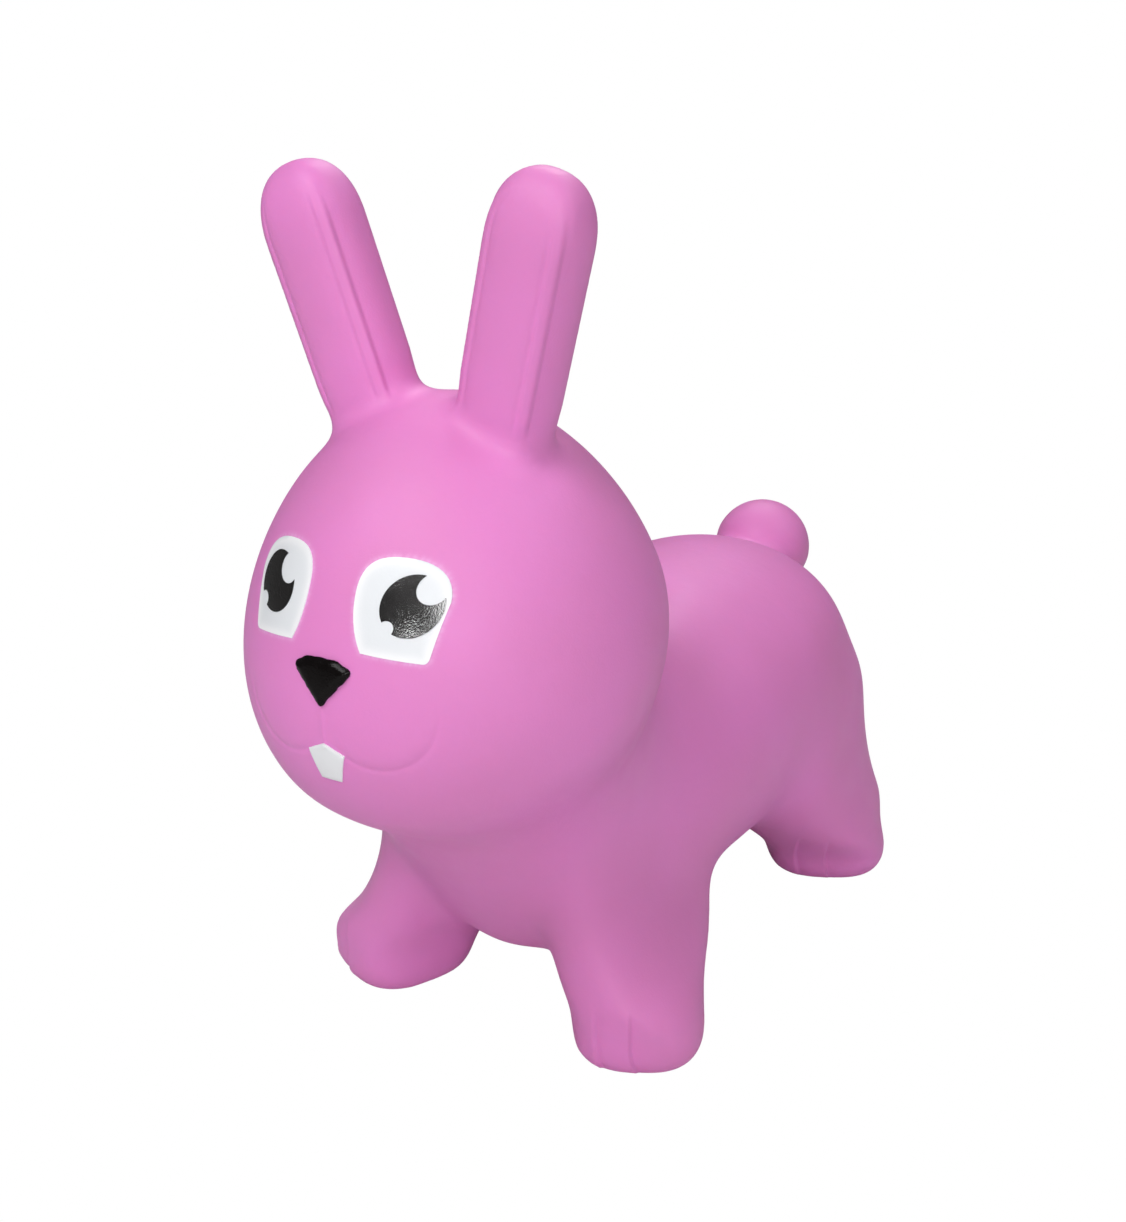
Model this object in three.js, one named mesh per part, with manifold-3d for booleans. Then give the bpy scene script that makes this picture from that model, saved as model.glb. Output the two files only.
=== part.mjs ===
// Bunny hopper: an inflated soft vinyl rabbit that a child sits astride and bounces on.
// Millimetres, +Z up. The rabbit faces -Y and its left side is +X. Its soles stand on Z = 0, and
// Y = 0 is the middle of the length from nose to tail.
//
// The real skin is moulded in one piece. Here it is parted where it flexes: at the neck, the ear
// roots, the hips and the ankles. The seams of the head and the ears are turned about their own
// hinge axes, so that the gap stays the same at every angle.

import * as THREE from "three";
import { mergeVertices } from "three/addons/utils/BufferGeometryUtils.js";
import Module from "manifold-3d";

const wasm = await Module();
wasm.setup();

// Skin
const WALL = 2; // thickness of the vinyl
const SOLE_WALL = 3; // thickness of the vinyl under a foot
const SEAM = 0.3; // gap between two pieces that meet
const REGION_MARGIN = 1; // how far a zone reaches past the surface that it takes in

// Head, an egg that is fuller at the cheeks than at the crown
const HEAD_WIDTH = 236;
const HEAD_DEPTH = 244;
const HEAD_HEIGHT = 254;
const HEAD_AHEAD = 1; // of its middle, before the front end of the torso
const HEAD_Z = 280;
const CHEEK_FULLNESS = 0.155; // share of the girth gained at the chin and lost at the crown
const HEAD_LEAN = 9; // degrees that the crown leans forward

// Neck seam, turned about the axis on which the head nods
const NECK_BACK = 62; // behind the middle of the head
const NECK_DROP = 85; // below the middle of the head
const NECK_WIDTH = 212;
const NECK_DIAMETER = 174;

// Torso, a barrel that widens and rises towards the rump
const TORSO_LENGTH = 408;
const TORSO_Y = 41;
const CHEST_WIDTH = 190; // of the barrel at its front end, before that end is rounded
const RUMP_WIDTH = 260; // of the barrel at its rear end, before that end is rounded
const WITHERS_HEIGHT = 214;
const SEAT_HEIGHT = 264;
const CHEST_CLEARANCE = 34; // floor to barrel at its front end, before that end is rounded
const RUMP_CLEARANCE = 51; // floor to barrel at its rear end, before that end is rounded
const TORSO_END_POWER = 2.8; // 2 rounds the ends as an ellipse, more makes them blunter
const TORSO_SECTION_POWER = 2.12; // the same, around the barrel

// Legs
const FOOT_ROUND = 10; // radius of the edge of the sole
const FOOT_POWER = 2.7; // 2 gives an oval foot, more makes it squarer
const ANKLE_HEIGHT = 18; // where the leg starts to spread towards the hip
const HIP_HEIGHT = 140;
const HIP_DOME = 60; // height of the rounded top of the leg above the hip
const LEG_SPREAD_POWER = 0.7; // 1 spreads the leg evenly, less makes it spread early
const FOOT_SEAM_HEIGHT = 14;
const HIP_SEAM_HEIGHT = 38;

const FRONT_FOOT_BACK = 52.5; // of its middle, behind the front end of the torso
const FRONT_FOOT_TRACK = 177; // between the middles of the left and the right foot
const FRONT_FOOT_WIDTH = 75;
const FRONT_FOOT_LENGTH = 82;
const FRONT_HIP_BACK = 105;
const FRONT_HIP_TRACK = 98;
const FRONT_HIP_WIDTH = 72;
const FRONT_HIP_LENGTH = 196;

const HIND_FOOT_AHEAD = 64; // of its middle, before the rear end of the torso
const HIND_FOOT_TRACK = 184;
const HIND_FOOT_WIDTH = 85;
const HIND_FOOT_LENGTH = 87;
const HIND_HIP_AHEAD = 105;
const HIND_HIP_TRACK = 104;
const HIND_HIP_WIDTH = 134;
const HIND_HIP_LENGTH = 186;

// Ears, which are the handles
const EAR_LENGTH = 160; // from the root inside the head to the tip
const EAR_WIDTH = 53.6;
const EAR_DEPTH = 42;
const EAR_SECTION_POWER = 3; // 2 gives an oval section, more flattens its sides
const EAR_ROOT_SHARE = 0.98; // girth at the root, as a share of the full girth
const EAR_TIP = 36; // height of the rounded tip
const EAR_TIP_POWER = 2.3; // 2 gives an oval tip, more makes it blunter
const EAR_SINK = 36; // from the crown down to the root
const EAR_TRACK = 69; // between the two roots
const EAR_FORWARD = 10; // of the root, before the middle of the head
const EAR_SPREAD = 16.5; // degrees that each ear leans out
const EAR_TILT = 6; // degrees that each ear leans forward
const EAR_HINGE_RISE = 29; // of the hinge above the root, along the ear
const EAR_SEAM_OUT = 10; // of the middle of the seam, out from the hinge point
const EAR_SEAM_WIDTH = 90;
const EAR_SEAM_DIAMETER = 74;

// Tail
const TAIL_DIAMETER = 74;
const TAIL_BEHIND = 6.5; // of its middle, behind the end of the torso
const TAIL_DROP = 48; // of its middle, below the top of the rump

// Valve in the belly
const VALVE_AHEAD = 11; // before the middle of the torso
const VALVE_BORE = 9.6;
const VALVE_NECK_DIAMETER = 22;
const VALVE_FLANGE_DIAMETER = 30;
const VALVE_FLANGE_THICKNESS = 2;
const VALVE_NECK_LENGTH = 12; // inside the skin
const PLUG_CLEARANCE = 0.3;
const PLUG_HEAD_DIAMETER = 17;
const PLUG_HEAD_THICKNESS = 3;
const PLUG_EDGE = 1; // bevel of the head and the tip
const PLUG_TIP_SETBACK = 2; // of the tip, below the inner end of the bush

// Painted face, placed in the front view
const PAINT = 0.8; // thickness of a painted layer
const EYE_TRACK = 74; // between the middles of the two white fields
const EYE_RISE = 37; // of the white fields, above the middle of the head
const EYE_WIDTH = 45;
const EYE_HEIGHT = 49;
const PUPIL_DIAMETER = 30;
const PUPIL_OUT = 5; // of the pupil, out from the middle of the white
const PUPIL_UP = 2;
const GLINT_DIAMETER = 13.4;
const GLINT_X = 6; // from the middle of the pupil
const GLINT_Z = 8.3;
const SMALL_GLINT_DIAMETER = 7.4;
const SMALL_GLINT_X = -8;
const SMALL_GLINT_Z = -11;
const NOSE_WIDTH = 34;
const NOSE_HEIGHT = 25;
const NOSE_DROP = 3; // of its middle, below the middle of the head
const NOSE_RELIEF = 4;
const TOOTH_WIDTH = 23;
const TOOTH_TIP_WIDTH = 13;
const TOOTH_HEIGHT = 22;
const TOOTH_DROP = 47; // of its middle, below the middle of the head
const TOOTH_RELIEF = 1.4;

// Fineness of the surfaces
const BODY_SIDES = 24;
const HEAD_RINGS = 14;
const TORSO_RINGS = 12;
const LEG_SIDES = 16;
const SOLE_RINGS = 3;
const LEG_RINGS = 5;
const DOME_RINGS = 3;
const EAR_SIDES = 16;
const EAR_RINGS = 10;
const TAIL_SIDES = 14;
const HINGE_SIDES = 48;
const SEAM_SIDES = 12;
const VALVE_SIDES = 20;
const OUTLINE_STEPS = 6;

// Places that follow from the sizes
const TORSO_FRONT = TORSO_Y - TORSO_LENGTH / 2;
const TORSO_REAR = TORSO_Y + TORSO_LENGTH / 2;
const HEAD_Y = TORSO_FRONT - HEAD_AHEAD;
const FRONT_FOOT_Y = TORSO_FRONT + FRONT_FOOT_BACK;
const HIND_FOOT_Y = TORSO_REAR - HIND_FOOT_AHEAD;
const VALVE_Y = TORSO_Y - VALVE_AHEAD;
const HEAD = new THREE.Vector3(0, HEAD_Y, HEAD_Z);
const NECK = new THREE.Vector3(0, HEAD_Y + NECK_BACK, HEAD_Z - NECK_DROP);
const EAR_ROOT_Y = HEAD_Y - EAR_FORWARD;
const EAR_ROOT_Z = HEAD_Z + HEAD_HEIGHT / 2 - EAR_SINK;
const TAIL = new THREE.Vector3(0, TORSO_REAR + TAIL_BEHIND, SEAT_HEIGHT - TAIL_DROP);
const MID_LEGS_Y = (FRONT_FOOT_Y + HIND_FOOT_Y) / 2;
const REACH = 2 * (TORSO_LENGTH + HEAD_DEPTH + HEAD_HEIGHT + EAR_LENGTH); // past every piece

const LEFT = 1;
const RIGHT = -1;
const SIDES = [
  { word: "left", sign: LEFT },
  { word: "right", sign: RIGHT },
];
const LEGS = [
  {
    word: "front",
    footY: FRONT_FOOT_Y,
    footX: FRONT_FOOT_TRACK / 2,
    footWidth: FRONT_FOOT_WIDTH,
    footLength: FRONT_FOOT_LENGTH,
    hipY: TORSO_FRONT + FRONT_HIP_BACK,
    hipX: FRONT_HIP_TRACK / 2,
    hipWidth: FRONT_HIP_WIDTH,
    hipLength: FRONT_HIP_LENGTH,
  },
  {
    word: "hind",
    footY: HIND_FOOT_Y,
    footX: HIND_FOOT_TRACK / 2,
    footWidth: HIND_FOOT_WIDTH,
    footLength: HIND_FOOT_LENGTH,
    hipY: TORSO_REAR - HIND_HIP_AHEAD,
    hipX: HIND_HIP_TRACK / 2,
    hipWidth: HIND_HIP_WIDTH,
    hipLength: HIND_HIP_LENGTH,
  },
];

const mix = THREE.MathUtils.lerp;
const radians = THREE.MathUtils.degToRad;

// Solids and meshes

// Turns a closed geometry into a solid that can be joined and cut.
function solid(geometry) {
  const bare = geometry.clone();
  bare.deleteAttribute("normal");
  bare.deleteAttribute("uv");
  const merged = mergeVertices(bare);
  const corners = Array.from(merged.index.array);
  const triangles = [];
  for (let i = 0; i < corners.length; i += 3) {
    const [a, b, c] = corners.slice(i, i + 3);
    if (a !== b && b !== c && c !== a) {
      triangles.push(a, b, c);
    }
  }
  const mesh = new wasm.Mesh({
    numProp: 3,
    vertProperties: new Float32Array(merged.attributes.position.array),
    triVerts: Uint32Array.from(triangles),
  });
  return new wasm.Manifold(mesh);
}

function joined(solids) {
  return solids.reduce((sum, next) => sum.add(next));
}

function without(piece, cutters) {
  return cutters.reduce((rest, cutter) => rest.subtract(cutter), piece);
}

function named(name, piece, material) {
  const { vertProperties, triVerts } = piece.getMesh();
  const geometry = new THREE.BufferGeometry();
  geometry.setAttribute("position", new THREE.BufferAttribute(vertProperties, 3));
  geometry.setIndex(new THREE.BufferAttribute(triVerts, 1));
  geometry.computeVertexNormals();
  const mesh = new THREE.Mesh(geometry, material);
  mesh.name = name;
  return mesh;
}

// Closed surface over rings of points, each anticlockwise as seen from the next ring's side, with
// a fan to the point that ends it at the start and another at the finish.
function loft(rings, start, finish) {
  const sides = rings[0].length;
  const points = [start, ...rings.flat(), finish];
  const corners = [];
  const at = (ring, side) => 1 + ring * sides + (side % sides);
  for (let side = 0; side < sides; side += 1) {
    corners.push(0, at(0, side + 1), at(0, side));
    for (let ring = 0; ring + 1 < rings.length; ring += 1) {
      const [a, b] = [at(ring, side), at(ring, side + 1)];
      const [c, d] = [at(ring + 1, side + 1), at(ring + 1, side)];
      corners.push(a, b, c, a, c, d);
    }
    corners.push(points.length - 1, at(rings.length - 1, side), at(rings.length - 1, side + 1));
  }
  const geometry = new THREE.BufferGeometry().setFromPoints(points);
  geometry.setIndex(corners);
  return solid(geometry);
}

// Rounded curves

function signedPower(value, exponent) {
  return Math.sign(value) * Math.abs(value) ** exponent;
}

// Point of a rounded rectangle with half sizes 1, at an angle. A power of 2 gives a circle.
function ovalPoint(angle, power) {
  return {
    across: signedPower(Math.cos(angle), 2 / power),
    up: signedPower(Math.sin(angle), 2 / power),
  };
}

function ringOf(sides, pointAt) {
  return Array.from({ length: sides }, (_, side) => pointAt((2 * Math.PI * side) / sides));
}

// Forms of the skin. Each takes an inset: 0 is the outer surface, WALL the inner one, and a
// negative inset grows the form.

// Takes a point of an upright head, with its middle at the origin, to its place on the body.
function ontoNeck(across, back, up) {
  const lean = new THREE.Euler(radians(HEAD_LEAN), 0, 0);
  return new THREE.Vector3(across, back, up).applyEuler(lean).add(HEAD);
}

function headForm(inset) {
  const rings = [];
  for (let i = 1; i < HEAD_RINGS; i += 1) {
    const { across: rise, up: girth } = ovalPoint(Math.PI * (1 - i / HEAD_RINGS), 2);
    const fullness = girth * (1 - CHEEK_FULLNESS * rise);
    rings.push(ringOf(BODY_SIDES, (angle) => ontoNeck(
      (HEAD_WIDTH / 2 - inset) * fullness * Math.cos(angle),
      (HEAD_DEPTH / 2 - inset) * fullness * Math.sin(angle),
      (HEAD_HEIGHT / 2 - inset) * rise,
    )));
  }
  const chin = ontoNeck(0, 0, inset - HEAD_HEIGHT / 2);
  const crown = ontoNeck(0, 0, HEAD_HEIGHT / 2 - inset);
  return loft(rings, chin, crown);
}

// Height of the barrel's underside, with along running from -1 at the chest to 1 at the rump.
function underside(along) {
  return mix(CHEST_CLEARANCE, RUMP_CLEARANCE, (along + 1) / 2);
}

function torsoForm(inset) {
  const halfLength = TORSO_LENGTH / 2 - inset;
  const top = (along) => mix(WITHERS_HEIGHT, SEAT_HEIGHT, (along + 1) / 2) - inset;
  const bottom = (along) => underside(along) + inset;
  const middle = (along) => (top(along) + bottom(along)) / 2;
  const rings = [];
  for (let i = 1; i < TORSO_RINGS; i += 1) {
    const { across: along, up: girth } = ovalPoint(Math.PI * (1 - i / TORSO_RINGS), TORSO_END_POWER);
    const halfWidth = (mix(CHEST_WIDTH, RUMP_WIDTH, (along + 1) / 2) / 2 - inset) * girth;
    const halfHeight = (top(along) - middle(along)) * girth;
    rings.push(ringOf(BODY_SIDES, (angle) => {
      const { across, up } = ovalPoint(-angle, TORSO_SECTION_POWER);
      return new THREE.Vector3(
        halfWidth * across,
        TORSO_Y + halfLength * along,
        middle(along) + halfHeight * up,
      );
    }));
  }
  const front = new THREE.Vector3(0, TORSO_Y - halfLength, middle(-1));
  const rear = new THREE.Vector3(0, TORSO_Y + halfLength, middle(1));
  return loft(rings, front, rear);
}

// Levels of a leg from the sole to the top of the hip's dome: the height, how far the leg has
// spread from foot to hip, how much the sole's edge draws it in, and how far the dome closes it.
function legLevels() {
  const levels = [];
  for (let i = 0; i <= SOLE_RINGS; i += 1) {
    const angle = (Math.PI / 2) * (i / SOLE_RINGS);
    const edge = FOOT_ROUND * (1 - Math.sin(angle));
    levels.push({ z: FOOT_ROUND * (1 - Math.cos(angle)), spread: 0, edge, open: 1 });
  }
  for (let i = 0; i <= LEG_RINGS; i += 1) {
    const share = i / LEG_RINGS;
    const spread = THREE.MathUtils.smoothstep(share ** LEG_SPREAD_POWER, 0, 1);
    levels.push({ z: mix(ANKLE_HEIGHT, HIP_HEIGHT, share), spread, edge: 0, open: 1 });
  }
  for (let i = 1; i < DOME_RINGS; i += 1) {
    const angle = (Math.PI / 2) * (i / DOME_RINGS);
    levels.push({ z: HIP_HEIGHT + HIP_DOME * Math.sin(angle), spread: 1, edge: 0, open: Math.cos(angle) });
  }
  return levels;
}

function legForm(leg, sign, inset, soleHeight) {
  const top = HIP_HEIGHT + HIP_DOME - inset;
  const rings = legLevels().map(({ z, spread, edge, open }) => {
    const x = sign * mix(leg.footX, leg.hipX, spread);
    const y = mix(leg.footY, leg.hipY, spread);
    const halfWidth = (mix(leg.footWidth, leg.hipWidth, spread) / 2 - inset - edge) * open;
    const halfLength = (mix(leg.footLength, leg.hipLength, spread) / 2 - inset - edge) * open;
    const height = mix(soleHeight, top, z / (HIP_HEIGHT + HIP_DOME));
    return ringOf(LEG_SIDES, (angle) => {
      const { across, up } = ovalPoint(angle, FOOT_POWER);
      return new THREE.Vector3(x + halfWidth * across, y + halfLength * up, height);
    });
  });
  const sole = new THREE.Vector3(sign * leg.footX, leg.footY, soleHeight);
  const crest = new THREE.Vector3(sign * leg.hipX, leg.hipY, top);
  return loft(rings, sole, crest);
}

// Takes a point of an upright ear, with its root at the origin, to its place on the head.
function ontoHead(point, sign) {
  const lean = new THREE.Euler(radians(EAR_TILT), radians(sign * EAR_SPREAD), 0, "YXZ");
  return point.applyEuler(lean).add(new THREE.Vector3((sign * EAR_TRACK) / 2, EAR_ROOT_Y, EAR_ROOT_Z));
}

// Share of its full girth that an ear has at a share of its length.
function earGirth(along) {
  const shoulder = 1 - EAR_TIP / EAR_LENGTH;
  const intoTip = Math.max(0, along - shoulder) / (1 - shoulder);
  const closing = (1 - intoTip ** EAR_TIP_POWER) ** (1 / EAR_TIP_POWER);
  return mix(EAR_ROOT_SHARE, 1, Math.min(along / shoulder, 1)) * closing;
}

function earForm(sign, inset) {
  const rings = [];
  for (let i = 0; i < EAR_RINGS; i += 1) {
    const along = 1 - (1 - i / EAR_RINGS) ** 2;
    const halfWidth = (EAR_WIDTH / 2 - inset) * earGirth(along);
    const halfDepth = (EAR_DEPTH / 2 - inset) * earGirth(along);
    rings.push(ringOf(EAR_SIDES, (angle) => {
      const { across, up } = ovalPoint(angle, EAR_SECTION_POWER);
      const height = (EAR_LENGTH - inset) * along;
      return ontoHead(new THREE.Vector3(halfWidth * across, halfDepth * up, height), sign);
    }));
  }
  const root = ontoHead(new THREE.Vector3(0, 0, 0), sign);
  const tip = ontoHead(new THREE.Vector3(0, 0, EAR_LENGTH - inset), sign);
  return loft(rings, root, tip);
}

function tailForm(inset) {
  const ball = new THREE.SphereGeometry(TAIL_DIAMETER / 2 - inset, TAIL_SIDES, TAIL_SIDES / 2);
  ball.translate(TAIL.x, TAIL.y, TAIL.z);
  return solid(ball);
}

// Body of revolution about a hinge axis along X.
function turnedSeam(centre, width, diameter, grow) {
  const ball = new THREE.SphereGeometry(1, HINGE_SIDES, SEAM_SIDES);
  ball.rotateZ(Math.PI / 2);
  ball.scale(width / 2 + grow, diameter / 2 + grow, diameter / 2 + grow);
  ball.translate(centre.x, centre.y, centre.z);
  return solid(ball);
}

function blockBetween(low, high) {
  const size = high.clone().sub(low);
  const middle = high.clone().add(low).multiplyScalar(0.5);
  const block = new THREE.BoxGeometry(size.x, size.y, size.z);
  block.translate(middle.x, middle.y, middle.z);
  return solid(block);
}

function halfSpace(sign) {
  const low = new THREE.Vector3(sign > 0 ? SEAM / 2 : -REACH, -REACH, -REACH);
  const high = new THREE.Vector3(sign > 0 ? REACH : -SEAM / 2, REACH, REACH);
  return blockBetween(low, high);
}

function slab(low, high) {
  return blockBetween(new THREE.Vector3(-REACH, -REACH, low), new THREE.Vector3(REACH, REACH, high));
}

// Zones of the skin

// The middle of an ear's seam, on the axis along X about which the ear bends.
function earSeamMiddle(sign) {
  const hinge = ontoHead(new THREE.Vector3(0, 0, EAR_HINGE_RISE), sign);
  return hinge.add(new THREE.Vector3(sign * EAR_SEAM_OUT, 0, 0));
}

function earRegion(sign, grow) {
  const seam = turnedSeam(earSeamMiddle(sign), EAR_SEAM_WIDTH, EAR_SEAM_DIAMETER, grow);
  return earForm(sign, -REGION_MARGIN - grow).add(seam).intersect(halfSpace(sign));
}

function headRegion(grow) {
  return headForm(-REGION_MARGIN - grow).add(turnedSeam(NECK, NECK_WIDTH, NECK_DIAMETER, grow));
}

function everyLeg(build) {
  return LEGS.flatMap((leg) => SIDES.map((side) => build(leg, side)));
}

const bodySolids = joined([
  headForm(0),
  torsoForm(0),
  ...SIDES.map(({ sign }) => earForm(sign, 0)),
  ...everyLeg((leg, { sign }) => legForm(leg, sign, 0, 0)),
]);
const cavity = joined([
  headForm(WALL),
  torsoForm(WALL),
  tailForm(WALL),
  ...SIDES.map(({ sign }) => earForm(sign, WALL)),
  ...everyLeg((leg, { sign }) => legForm(leg, sign, WALL, SOLE_WALL)),
]);
const skin = bodySolids.subtract(cavity);

function makeEar(side) {
  return skin.intersect(earRegion(side.sign, 0));
}

function makeHead() {
  const ears = SIDES.map(({ sign }) => earRegion(sign, SEAM));
  return without(skin.intersect(headRegion(0)), ears);
}

function makeTorso() {
  const ears = SIDES.map(({ sign }) => earRegion(sign, SEAM));
  const legs = slab(-REACH, HIP_SEAM_HEIGHT + SEAM);
  return without(skin, [headRegion(SEAM), ...ears, legs, valveHole()]);
}

// The stretch of one leg between two heights.
function legStretch(leg, side, low, high) {
  const corner = new THREE.Vector3(side.sign * REACH, leg.footY < MID_LEGS_Y ? -REACH : REACH, high);
  const centre = new THREE.Vector3(0, MID_LEGS_Y, low);
  return skin.intersect(blockBetween(centre.clone().min(corner), centre.clone().max(corner)));
}

function makeLegSleeve(leg, side) {
  return legStretch(leg, side, FOOT_SEAM_HEIGHT + SEAM, HIP_SEAM_HEIGHT);
}

function makeFoot(leg, side) {
  return legStretch(leg, side, -REACH, FOOT_SEAM_HEIGHT);
}

function makeTail() {
  return without(tailForm(0), [cavity, torsoForm(-SEAM)]);
}

// Valve, turned about an upright axis through the belly

function turnedUpright(profile) {
  const points = profile.map(([radius, height]) => new THREE.Vector2(radius, height));
  const turning = new THREE.LatheGeometry([...points, points[0]], VALVE_SIDES);
  turning.rotateX(Math.PI / 2);
  turning.translate(0, VALVE_Y, 0);
  return solid(turning);
}

const BELLY_HEIGHT = underside(-VALVE_AHEAD / (TORSO_LENGTH / 2));
const FLANGE_TOP = BELLY_HEIGHT - SEAM;
const FLANGE_BOTTOM = FLANGE_TOP - VALVE_FLANGE_THICKNESS;
const NECK_TOP = BELLY_HEIGHT + WALL + VALVE_NECK_LENGTH;

function valveHole() {
  const radius = VALVE_NECK_DIAMETER / 2 + SEAM;
  return turnedUpright([[0, FLANGE_BOTTOM], [radius, FLANGE_BOTTOM], [radius, NECK_TOP], [0, NECK_TOP]]);
}

function makeValveSeat() {
  const bore = VALVE_BORE / 2;
  const neck = VALVE_NECK_DIAMETER / 2;
  const flange = VALVE_FLANGE_DIAMETER / 2;
  return turnedUpright([
    [bore, FLANGE_BOTTOM],
    [flange, FLANGE_BOTTOM],
    [flange, FLANGE_TOP],
    [neck, FLANGE_TOP],
    [neck, NECK_TOP],
    [bore, NECK_TOP],
  ]);
}

function makeValvePlug() {
  const peg = VALVE_BORE / 2 - PLUG_CLEARANCE;
  const head = PLUG_HEAD_DIAMETER / 2;
  const headTop = FLANGE_BOTTOM - SEAM;
  const headBottom = headTop - PLUG_HEAD_THICKNESS;
  const tip = NECK_TOP - PLUG_TIP_SETBACK;
  return turnedUpright([
    [0, headBottom],
    [head - PLUG_EDGE, headBottom],
    [head, headBottom + PLUG_EDGE],
    [head, headTop],
    [peg, headTop],
    [peg, tip - PLUG_EDGE],
    [peg - PLUG_EDGE, tip],
    [0, tip],
  ]);
}

// Painted face. An outline is drawn in the front view, X across and Y up, and stamped along the
// depth of the head onto a thin layer over its skin.

function stamp(outline, x, z) {
  const prism = new THREE.ExtrudeGeometry(outline, {
    depth: HEAD_DEPTH,
    bevelEnabled: false,
    curveSegments: OUTLINE_STEPS,
  });
  prism.rotateX(Math.PI / 2);
  prism.translate(x, HEAD_Y, z);
  return solid(prism);
}

function disc(radius, x, z) {
  const outline = new THREE.Shape().absarc(0, 0, radius, 0, 2 * Math.PI);
  return stamp(outline, x, z);
}

function layer(thickness) {
  return headForm(-SEAM - thickness).subtract(headForm(-SEAM));
}

// The white field has a round top and a straight foot that drops a little towards the cheek.
function eyeOutline(sign) {
  const across = (share) => sign * share * (EYE_WIDTH / 2);
  const up = (share) => share * (EYE_HEIGHT / 2);
  const outline = new THREE.Shape();
  outline.moveTo(across(-0.68), up(-0.86));
  outline.lineTo(across(0.76), up(-1));
  outline.lineTo(across(1), up(0.2));
  outline.bezierCurveTo(across(0.98), up(0.74), across(0.5), up(1), across(-0.15), up(1));
  outline.bezierCurveTo(across(-0.75), up(1), across(-1), up(0.75), across(-1), up(0.3));
  outline.quadraticCurveTo(across(-1), up(-0.35), across(-0.68), up(-0.86));
  return outline;
}

function eyeMiddle(sign) {
  return { x: (sign * EYE_TRACK) / 2, z: HEAD_Z + EYE_RISE };
}

// A round pupil with two bites, where the white shows as glints. Both eyes catch the same light.
function pupilStamp(sign, grow) {
  const eye = eyeMiddle(sign);
  const x = eye.x + sign * PUPIL_OUT;
  const z = eye.z + PUPIL_UP;
  const bite = disc(GLINT_DIAMETER / 2 - grow, x + GLINT_X, z + GLINT_Z);
  const smallBite = disc(SMALL_GLINT_DIAMETER / 2 - grow, x + SMALL_GLINT_X, z + SMALL_GLINT_Z);
  return without(disc(PUPIL_DIAMETER / 2 + grow, x, z), [bite, smallBite]);
}

function makePupil(side) {
  return layer(PAINT).intersect(pupilStamp(side.sign, 0));
}

function makeEyeWhite(side) {
  const eye = eyeMiddle(side.sign);
  const field = layer(PAINT).intersect(stamp(eyeOutline(side.sign), eye.x, eye.z));
  return field.subtract(pupilStamp(side.sign, SEAM));
}

// An upside-down triangle with rounded corners and a crowned top edge.
function noseOutline() {
  const across = (share) => share * (NOSE_WIDTH / 2);
  const up = (share) => share * (NOSE_HEIGHT / 2);
  const outline = new THREE.Shape();
  outline.moveTo(across(-0.14), up(-0.94));
  outline.quadraticCurveTo(0, up(-1.06), across(0.14), up(-0.94));
  outline.lineTo(across(0.92), up(0.3));
  outline.bezierCurveTo(across(1.1), up(0.66), across(0.8), up(0.84), across(0.6), up(0.9));
  outline.quadraticCurveTo(0, up(1.1), across(-0.6), up(0.9));
  outline.bezierCurveTo(across(-0.8), up(0.84), across(-1.1), up(0.66), across(-0.92), up(0.3));
  outline.closePath();
  return outline;
}

function makeNose() {
  return layer(NOSE_RELIEF).intersect(stamp(noseOutline(), 0, HEAD_Z - NOSE_DROP));
}

// A tapered tooth whose top edge rises to a low peak under the lip.
function toothOutline() {
  const outline = new THREE.Shape();
  outline.moveTo(-TOOTH_TIP_WIDTH / 2, -TOOTH_HEIGHT / 2);
  outline.lineTo(TOOTH_TIP_WIDTH / 2, -TOOTH_HEIGHT / 2);
  outline.lineTo(TOOTH_WIDTH / 2, TOOTH_HEIGHT / 4);
  outline.lineTo(0, TOOTH_HEIGHT / 2);
  outline.lineTo(-TOOTH_WIDTH / 2, TOOTH_HEIGHT / 4);
  outline.closePath();
  return outline;
}

function makeTooth() {
  return layer(TOOTH_RELIEF).intersect(stamp(toothOutline(), 0, HEAD_Z - TOOTH_DROP));
}

// Materials

const finish = (color, roughness) => new THREE.MeshStandardMaterial({ color, roughness, metalness: 0 });
const pinkVinyl = finish("#e087c4", 0.5);
const whitePaint = finish("#f6f7fa", 0.45);
const blackPaint = finish("#191617", 0.3);
const toothPaint = finish("#d8dadc", 0.5);
const clearVinyl = finish("#e9dfe6", 0.4);

// Assembly

const head = new THREE.Group();
head.add(named("head", makeHead(), pinkVinyl));
head.add(named("nose", makeNose(), blackPaint));
head.add(named("tooth", makeTooth(), toothPaint));
for (const side of SIDES) {
  head.add(named(`ear_${side.word}`, makeEar(side), pinkVinyl));
  head.add(named(`eye_white_${side.word}`, makeEyeWhite(side), whitePaint));
  head.add(named(`pupil_${side.word}`, makePupil(side), blackPaint));
}

const valve = new THREE.Group();
valve.add(named("valve_seat", makeValveSeat(), clearVinyl));
valve.add(named("valve_plug", makeValvePlug(), clearVinyl));

const hopper = new THREE.Group();
hopper.add(named("torso", makeTorso(), pinkVinyl));
hopper.add(named("tail", makeTail(), pinkVinyl));
everyLeg((leg, side) => {
  hopper.add(named(`${leg.word}_leg_${side.word}`, makeLegSleeve(leg, side), pinkVinyl));
  hopper.add(named(`${leg.word}_foot_${side.word}`, makeFoot(leg, side), pinkVinyl));
});
hopper.add(head, valve);

export default hopper;
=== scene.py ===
# %% [markdown]
# # Bunny hopper
# A bunny hopper is an inflated toy of soft vinyl. A small child sits astride the barrel, holds the
# two ears and bounces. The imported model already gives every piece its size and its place, so this
# lesson only dresses it: one smooth skin with soft creases, a sprayed face, and a valve in the belly.
# Everything is in metres. The rabbit faces -Y, its left side is +X, and its soles stand on Z = 0.

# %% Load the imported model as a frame
import math

import bpy
from mathutils import Euler, Matrix, Vector
from mathutils.geometry import interpolate_bezier
from mathutils.kdtree import KDTree


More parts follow.
